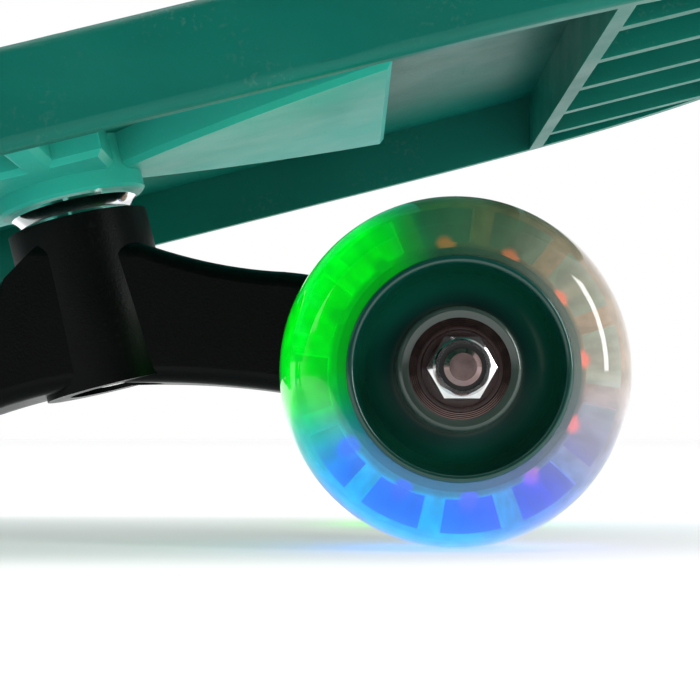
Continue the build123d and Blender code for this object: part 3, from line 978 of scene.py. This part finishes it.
def dress(frame: dict, node: str, material: bpy.types.Material) -> None:
    """Gives a CAD node its finish.

    Args:
        frame: The loaded frame.
        node: The node's name.
        material: Its finish.
    """
    shown = frame["nodes"][node]
    shown.data.materials.clear()
    shown.data.materials.append(material)
    faces = shown.data.polygons
    faces.foreach_set("material_index", np.zeros(len(faces), np.int32))
    LOG.info("dressed %s", node)


# ---- Finishes --------------------------------------------------------------

# The deck's teal plastic, darkened in part as painted shade of its underside.
DECK_TEAL_SHADED = Moulding(
    "DeckTealShaded", (0.002, 0.155, 0.115), roughness=0.42, specular=0.18, mottle=0.35, dust=0.06,
    grain_scale=1500.0, grain_depth=0.00003, glow=0.3,
)
# Teal plastic painted much paler than the deck: painted light from the floor below on the
# bracket's lower faces.
BRACKET_TEAL_LIT = Moulding(
    "BracketTealLit", (0.035, 0.480, 0.390), roughness=0.42, specular=0.12, mottle=0.3,
    scuff=0.25, dust=0.05, grain_scale=1700.0, glow=0.3,
)
# Teal grip plastic, darkened in part as painted shade, like the deck.
GRIP_TEAL_SHADED = Moulding(
    "GripTealShaded", (0.002, 0.150, 0.112), roughness=0.50, specular=0.18, mottle=0.3, scuff=0.35,
    dust=0.12, grain_scale=1500.0, grain_depth=0.00003, glow=0.3,
)
ARM_BLACK = Moulding(
    "ArmBlack", (0.0010, 0.0014, 0.0014), roughness=0.38, specular=0.12, mottle=0.1, scuff=0.2,
    dust=0.015, grain_scale=1900.0, grain_depth=0.00003,
)
SHIELD_RUBBER = Moulding(
    "ShieldRubber", (0.020, 0.006, 0.005), roughness=0.26, scuff=0.2, dust=0.05,
    grain_scale=2600.0, grain_depth=0.000006,
)
NUT_NYLON = Moulding(
    "NutNylon", (0.01, 0.009, 0.010), roughness=0.4, specular=0.45, mottle=0.1, scuff=0.1,
    dust=0.0, grain_scale=2600.0, grain_depth=0.000005,
)
AMBER_URETHANE = Moulding(
    "AmberUrethane", (0.55, 0.24, 0.04), roughness=0.38, mottle=0.25, scuff=0.2, dust=0.05,
    grain_scale=1800.0,
)
MAGNET_BLACK = Moulding(
    "MagnetBlack", (0.03, 0.03, 0.032), roughness=0.55, specular=0.4, mottle=0.3, scuff=0.2,
    grain_scale=2200.0,
)
BOARD_GREEN = Moulding(
    "BoardGreen", (0.01, 0.10, 0.035), roughness=0.3, mottle=0.3, scuff=0.1, dust=0.0,
    grain_scale=2600.0, grain_depth=0.000004,
)
CHROME = Metal(
    "Chrome", (0.82, 0.83, 0.84), roughness=0.10, scuff=0.2, tarnish=(0.5, 0.46, 0.42),
    tarnish_share=0.25,
)
NUT_CHROME = Metal(
    "NutChrome", (0.78, 0.80, 0.80), roughness=0.09, scuff=0.5, tarnish=(0.35, 0.28, 0.24),
    tarnish_share=0.5,
)
ZINC = Metal(
    "Zinc", (0.60, 0.61, 0.63), roughness=0.26, scuff=0.6, tarnish=(0.42, 0.40, 0.30),
    tarnish_share=0.5,
)
AXLE_STEEL = Metal(
    "AxleSteel", (0.30, 0.22, 0.21), roughness=0.22, scuff=0.5, tarnish=(0.16, 0.06, 0.05),
    tarnish_share=0.7,
)
BLACK_OXIDE = Metal(
    "BlackOxide", (0.075, 0.075, 0.08), roughness=0.36, scuff=0.5, tarnish=(0.16, 0.12, 0.09),
    tarnish_share=0.4,
)
BRASS = Metal(
    "Brass", (0.72, 0.52, 0.22), roughness=0.25, tarnish=(0.35, 0.24, 0.12), tarnish_share=0.4,
)
BRONZE = Metal(
    "Bronze", (0.42, 0.26, 0.14), roughness=0.45, tarnish=(0.2, 0.13, 0.08), tarnish_share=0.5,
)


def ground_steel(end: End) -> Metal:
    """Dark ground bearing steel with fine turning rings round one axle.

    Args:
        end: The end whose axle the rings go round.

    Returns:
        The finish.
    """
    return Metal(
        f"BearingSteel_{end.value}",
        (0.17, 0.12, 0.11),
        roughness=0.10,
        scuff=0.2,
        tarnish=(0.10, 0.05, 0.04),
        tarnish_share=0.6,
        lathe=True,
        axle_x=AXLE_X * end.way,
    )


# ---- Sub-assemblies --------------------------------------------------------

SHIELD_FACES = ((19.65, 20.15), (13.95, 13.45))
SHIELD_BORE = 6.05
SHIELD_RIM = 9.30


@dataclass
class Wheel:
    """One light-up wheel: clear tyre, light guide, hub, lamps and bearings."""

    end: End
    side: Side
    turn: float
    tread_r: float = 39.5
    hub_r: float = 26.5
    lip_r: float = 24.5
    bite: float = 0.2
    tyre_half: float = 20.15
    seat_half: float = 16.0
    crown_power: float = 2.35
    middle_y: float = 52.0
    channel_share: float = 0.45
    name: str = field(init=False)

    def __post_init__(self) -> None:
        """Works out the wheel's name."""
        self.name = f"{self.end.value}_{self.side.value}"

    def tyre_outline(self) -> np.ndarray:
        """Half tyre profile, mirrored: a crowned tread that eases into sloping side faces.

        Returns:
            Radius and place along the axle, in millimetres.
        """
        share = np.linspace(0, 1, 40)
        angle = share * math.pi / 2
        ease = 2 / self.crown_power
        radius = self.hub_r + (self.tread_r - self.hub_r) * np.abs(np.cos(angle)) ** ease
        place = self.tyre_half * np.abs(np.sin(angle)) ** ease
        upper = np.stack([radius, place], 1)
        lower = upper[::-1] * (1, -1)
        lip, hub, seat = self.lip_r - self.bite, self.hub_r - self.bite, self.seat_half - self.bite
        inside = np.array([(lip, self.tyre_half), (lip, seat), (hub, seat)])
        return np.concatenate([lower[:-1], upper, inside, inside[::-1] * (1, -1)])

    def shields(self, centre: Sequence[float]) -> Surface:
        """Four bearing shields: thin washers with a shallow channel in the face that shows.

        Each outline runs from the bore to the seat, dips by the channel's depth between two
        radii and is turned round the axle.

        Args:
            centre: The wheel's middle, in metres.

        Returns:
            The four shields as one surface.
        """
        made = []
        for way in (-1, 1):
            for back, face in SHIELD_FACES:
                floor = face + (back - face) * self.channel_share
                corners = (
                    (SHIELD_BORE, back, 0.08),
                    (SHIELD_BORE, face, 0.12),
                    (6.75, face, 0.10),
                    (6.95, floor, 0.08),
                    (8.25, floor, 0.08),
                    (8.45, face, 0.10),
                    (SHIELD_RIM, face, 0.12),
                    (SHIELD_RIM, back, 0.08),
                )
                outline = rounded_profile([(r, way * y, e) for r, y, e in corners])
                made.append(turned(outline, centre, 96))
        return made[0].joined(made[1]).joined(made[2]).joined(made[3])

    def build(self, frame: dict) -> None:
        """Builds and dresses the wheel.

        Args:
            frame: The loaded frame.
        """
        body = f"{self.name}_wheel"
        low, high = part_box(f"{self.name}_tyre")
        centre = ((low + high) / 2)[:]
        axle_x = AXLE_X * self.end.way
        light = WheelLight(axle_x, self.middle_y * MM * self.side.way, self.turn, self.name)
        ring = turned(self.tyre_outline(), centre)
        tyre = mesh_object(f"{self.name}_clear_tyre", ring, light.tyre())
        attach(tyre, body)
        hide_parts(f"{self.name}_tyre")
        dress(frame, f"{self.name}_light_guide", light.guide())
        hub = ShadedHubPlastic(f"HubTealPaintedShade_{self.name}", axle_x).make()
        dress(frame, f"{self.name}_core", hub)
        steel = ground_steel(self.end).make()
        dress(frame, f"{self.name}_outer_races", steel)
        dress(frame, f"{self.name}_bearing_balls", CHROME.make())
        washers = self.shields(centre)
        shields = mesh_object(f"{self.name}_moulded_shields", washers, SHIELD_RUBBER.make())
        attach(shields, body)
        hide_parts(f"{self.name}_bearing_shields")
        dress(frame, f"{self.name}_light_board", BOARD_GREEN.make())
        LOG.info("built wheel %s", self.name)


@dataclass
class Truck:
    """One swing-arm truck with its bracket, cup, arm, axle and nuts."""

    end: End
    wheels: tuple[Wheel, ...]

    def build(self, frame: dict) -> None:
        """Builds and dresses the truck.

        Args:
            frame: The loaded frame.
        """
        name = self.end.value
        finishes = (
            ("bracket", BRACKET_TEAL_LIT, "bracket_plastic"),
            ("swivel_cup", CHROME, "chrome"),
            ("swing_arm", ARM_BLACK, "arm_plastic"),
            ("thrust_balls", CHROME, "bearing_steel"),
            ("thrust_race", ZINC, "zinc_steel"),
            ("swivel_bushes", BRONZE, "bronze_bush"),
            ("centring_sleeve", AMBER_URETHANE, "urethane"),
            ("axle", AXLE_STEEL, "zinc_steel"),
            ("speed_washers", ZINC, "zinc_steel"),
            ("axle_nuts", NUT_CHROME, "chrome"),
            ("nut_inserts", NUT_NYLON, "nylon_insert"),
            ("inner_races", ground_steel(self.end), "bearing_steel"),
            ("magnet_sleeves", MAGNET_BLACK, "magnet"),
        )
        for part, finish, slot in finishes:
            dress(frame, f"{name}_{part}", finish.make())
        for wheel in self.wheels:
            wheel.build(frame)
        LOG.info("built truck %s", name)


@dataclass
class Deck:
    """The deck with its moulded grip pads, bolts, inserts and kingpins."""

    half_length: float = 360.0
    half_width: float = 100.0
    flat: float = 60.0
    bend: float = 229.0
    tilt: float = math.radians(14.0)
    shoulder: float = 220.0
    taper: float = 3.0
    tip_pull_x: float = 60.0
    tip_pull_y: float = 8.0
    pitch: float = 12.0
    pad_reach: float = 3.1
    pad_rise: float = 0.5
    pad_root: float = 0.6
    pad_edge: float = 14.0
    pad_steps: int = 12
    bolt_places: tuple[tuple[float, float], ...] = ((156.4, 27.0), (111.8, 27.0))
    bolt_clear: float = 9.5

    def outline(self) -> np.ndarray:
        """A quarter of the deck's plan: a slight taper, then a cubic curve round the tip.

        Returns:
            Rows of x and half width, in millimetres.
        """
        along = np.linspace(0, self.shoulder, 40)
        side = self.half_width - self.taper * (along / self.shoulder) ** 2
        low = self.half_width - self.taper
        handles = np.array(
            [
                (self.shoulder, low),
                (self.half_length - self.tip_pull_x, low),
                (self.half_length, low - self.tip_pull_y),
                (self.half_length, 0),
            ]
        )
        t = np.linspace(0, 1, 60)[:, None]
        tip = (
            (1 - t) ** 3 * handles[0]
            + 3 * t * (1 - t) ** 2 * handles[1]
            + 3 * t**2 * (1 - t) * handles[2]
            + t**3 * handles[3]
        )
        return np.concatenate([np.stack([along, side], 1), tip])

    def lift(self, run: np.ndarray, rise: np.ndarray, top: float) -> np.ndarray:
        """Carries points laid out flat on to the deck's bent top.

        The run is a length along the surface: level up to the flat's end, then an arc of the
        bend's radius up to the tilt, then a straight ramp. The rise is added square to it.

        Args:
            run: Lengths along the surface from its middle, either way, in millimetres.
            rise: Heights above the surface.
            top: Height of the level part.

        Returns:
            Rows of x and z, in millimetres.
        """
        way = np.sign(run)
        length = np.abs(run)
        turn = np.clip((length - self.flat) / self.bend, 0, self.tilt)
        ramp = np.maximum(length - self.flat - self.bend * self.tilt, 0)
        x = np.minimum(length, self.flat) + self.bend * np.sin(turn) + ramp * math.cos(self.tilt)
        z = top + self.bend * (1 - np.cos(turn)) + ramp * math.sin(self.tilt)
        return np.stack([way * (x - rise * np.sin(turn)), z + rise * np.cos(turn)], -1)

    def pad_middles(self, top: float) -> np.ndarray:
        """Places of the pads: two staggered square grids, kept clear of the edge and the bolts.

        Args:
            top: Height of the level part.

        Returns:
            Rows of run and y, in millimetres.
        """
        runs = np.arange(-30, 31) * self.pitch
        sides = np.arange(-8, 9) * self.pitch
        grid = np.stack(np.meshgrid(runs, sides, indexing="ij"), -1).reshape(-1, 2)
        middles = np.concatenate([grid, grid + self.pitch / 2])
        x = np.abs(self.lift(middles[:, 0], np.zeros(len(middles)), top)[:, 0])
        y = np.abs(middles[:, 1])
        edge = self.outline()
        gap = np.hypot(x[:, None] - edge[None, :, 0], y[:, None] - edge[None, :, 1]).min(1)
        inside = y < np.interp(x, edge[:, 0], edge[:, 1], right=0.0)
        bolts = np.array(self.bolt_places)
        clear = np.hypot(x[:, None] - bolts[None, :, 0], y[:, None] - bolts[None, :, 1]).min(1)
        return middles[inside & (gap > self.pad_edge) & (clear > self.bolt_clear)]

    def grip(self, top: float) -> Surface:
        """Low rounded pads over the whole top.

        Each pad is a stack of rings, |x|^3 + |y|^3 = r^3, whose reach and height follow a
        short table from its buried root to its flat crown; a point at each end closes it.

        Args:
            top: Height of the level part.

        Returns:
            All the pads as one surface.
        """
        reach = np.array([0.0, 1.0, 1.0, 0.93, 0.78, 0.0]) * self.pad_reach
        rise = np.array([-1.0, -1.0, 0.2, 0.75, 1.0, 1.0])
        rise = np.where(rise < 0, rise * self.pad_root, rise * self.pad_rise)
        angle = np.linspace(0, 2 * math.pi, self.pad_steps, endpoint=False)
        angle = angle + math.pi / self.pad_steps
        shape = (np.abs(np.cos(angle)) ** 3 + np.abs(np.sin(angle)) ** 3) ** (-1 / 3)
        ring_x = reach[1:-1, None] * (shape * np.cos(angle))[None]
        ring_y = reach[1:-1, None] * (shape * np.sin(angle))[None]
        ring_h = np.broadcast_to(rise[1:-1, None], ring_x.shape)
        pad = np.concatenate(
            [
                [(0, 0, rise[0])],
                np.stack([ring_x, ring_y, ring_h], -1).reshape(-1, 3),
                [(0, 0, rise[-1])],
            ]
        )
        middles = self.pad_middles(top)
        run = middles[:, None, 0] + pad[None, :, 0]
        side = middles[:, None, 1] + pad[None, :, 1]
        place = self.lift(run, np.broadcast_to(pad[None, :, 2], run.shape), top)
        points = np.stack([place[..., 0], side, place[..., 1]], -1).reshape(-1, 3) * MM
        rings = len(reach) - 2
        walls = grid_faces(rings, self.pad_steps, False, True) + 1
        walls = np.concatenate([walls[:, [0, 1, 2]], walls[:, [0, 2, 3]]])
        ring = np.arange(self.pad_steps)
        after = (ring + 1) % self.pad_steps
        last = 1 + (rings - 1) * self.pad_steps
        crown = np.full(self.pad_steps, len(pad) - 1)
        foot = np.stack([np.zeros_like(ring), after + 1, ring + 1], 1)
        cap = np.stack([crown, last + ring, last + after], 1)
        one = np.concatenate([walls, foot, cap])
        offsets = np.arange(len(middles))[:, None, None] * len(pad)
        return Surface(points, (one[None] + offsets).reshape(-1, 3))

    def build(self, frame: dict) -> None:
        """Builds the grip and dresses the deck and what is fixed to it.

        Args:
            frame: The loaded frame.
        """
        mount = next(m for m in frame["record"]["mounts"] if m["name"] == "deck_top")
        surface = self.grip(mount["pos_m"][2] / MM)
        grip = mesh_object("deck_grip_pads", surface, GRIP_TEAL_SHADED.make(), 35.0)
        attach(grip, "board")
        finishes = (
            ("deck", DECK_TEAL_SHADED, "deck_plastic"),
            ("deck_bolts", BLACK_OXIDE, "dark_steel"),
            ("bolt_inserts", BRASS, "brass_insert"),
            ("kingpins", ZINC, "zinc_steel"),
            ("kingpin_washers", ZINC, "zinc_steel"),
            ("kingpin_nuts", ZINC, "zinc_steel"),
        )
        for node, finish, slot in finishes:
            dress(frame, node, finish.make())
        LOG.info("built deck")


@dataclass(frozen=True)
class Softbox:
    """One upright soft light: where it hangs, the point it faces, its sides and its power."""

    name: str
    place: tuple[float, float, float]
    target: tuple[float, float, float]
    width: float
    height: float
    watts: float

    def hang(self) -> None:
        """Adds the light to the scene."""
        lamp = bpy.data.lights.new(self.name, "AREA")
        lamp.shape = "RECTANGLE"
        lamp.size = self.width
        lamp.size_y = self.height
        lamp.energy = self.watts
        holder = bpy.data.objects.new(self.name, lamp)
        holder.location = self.place
        way = Vector(self.target) - Vector(self.place)
        holder.rotation_euler = way.to_track_quat("-Z", "Y").to_euler()
        bpy.context.scene.collection.objects.link(holder)


SOFTBOXES = (
    Softbox("RightSoftbox", (1.05, -0.55, 0.33), (0.25, -0.05, 0.05), 0.22, 0.55, 4.5),
    Softbox("TopSoftbox", (-0.1, -0.1, 1.6), (0.0, 0.0, 0.05), 1.3, 1.3, 14.0),
    Softbox("LeftSoftbox", (-1.2, -0.7, 0.75), (0.1, 0.0, 0.08), 0.5, 0.5, 1.0),
)


@dataclass
class Studio:
    """Pale floor, soft lights and the camera."""

    floor_reach: float = 8.0
    floor_colour: Colour = (0.92, 0.92, 0.92)
    floor_glow: float = 0.38
    back_light: float = 1.0
    front_light: float = 0.035
    camera_place: tuple[float, float, float] = (0.2264, -0.4403, 0.0255)
    camera_tip: float = 2.8
    lens_length: float = 88.35
    film_width: float = 36.0

    def build(self) -> None:
        """Builds the floor, the lights, the sky and the camera."""
        bpy.context.scene.view_settings.view_transform = "Standard"
        self._floor()
        self._sky()
        for softbox in SOFTBOXES:
            softbox.hang()
        self._camera()

    def _floor(self) -> None:
        """Lays a level sheet at the height of the ground."""
        reach = self.floor_reach
        corners = [(-reach, -reach, 0), (reach, -reach, 0), (reach, reach, 0), (-reach, reach, 0)]
        material, _, shader, _ = start_material("FloorPale")
        shader.inputs["Base Color"].default_value = (*self.floor_colour, 1)
        shader.inputs["Roughness"].default_value = 0.7
        shader.inputs["Specular IOR Level"].default_value = 0.1
        shader.inputs["Emission Color"].default_value = (1, 1, 1, 1)
        shader.inputs["Emission Strength"].default_value = self.floor_glow
        mesh = bpy.data.meshes.new("studio_floor")
        mesh.from_pydata(corners, [], [(0, 1, 2, 3)])
        mesh.materials.append(material)
        floor = bpy.data.objects.new("studio_floor", mesh)
        bpy.context.scene.collection.objects.link(floor)

    def _sky(self) -> None:
        """Lights the room from the back and sides, with a dim front, behind a plain white view."""
        world = bpy.data.worlds.new("Studio")
        world.use_nodes = True
        graph = Graph(world.node_tree)
        background = next(n for n in world.node_tree.nodes if n.type == "BACKGROUND")
        background.inputs["Color"].default_value = (1.0, 1.0, 1.0, 1)
        parts = graph.add("ShaderNodeSeparateXYZ")
        graph.join(graph.add("ShaderNodeTexCoord").outputs["Generated"], parts.inputs[0])
        room = graph.span(parts.outputs["Y"], -0.55, 0.25, self.front_light, self.back_light)
        seen = graph.add("ShaderNodeLightPath").outputs["Is Camera Ray"]
        graph.join(graph.maths("MAXIMUM", room, seen), background.inputs["Strength"])
        bpy.context.scene.world = world

    def _camera(self) -> None:
        """Sets the camera low beside the nose wheel, square to its axle and tipped up a little."""
        lens = bpy.data.cameras.new("View")
        lens.lens = self.lens_length
        lens.sensor_width = self.film_width
        lens.clip_start = 0.01
        lens.clip_end = 50.0
        camera = bpy.data.objects.new("View", lens)
        camera.location = self.camera_place
        camera.rotation_euler = (math.radians(90.0 + self.camera_tip), 0.0, 0.0)
        bpy.context.scene.collection.objects.link(camera)
        bpy.context.scene.camera = camera


def main() -> None:
    """Builds the skateboard and its studio."""
    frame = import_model()
    KIT.build()
    Deck().build(frame)
    turns = {
        (End.NOSE, Side.RIGHT): 0.0,
        (End.NOSE, Side.LEFT): 0.31,
        (End.TAIL, Side.RIGHT): 0.62,
        (End.TAIL, Side.LEFT): 0.17,
    }
    for end in End:
        wheels = tuple(Wheel(end, side, turns[end, side]) for side in Side)
        Truck(end, wheels).build(frame)
    Studio().build()


if __name__ == "__main__":
    logging.basicConfig(level=logging.INFO, format="%(name)s: %(message)s")
    main()
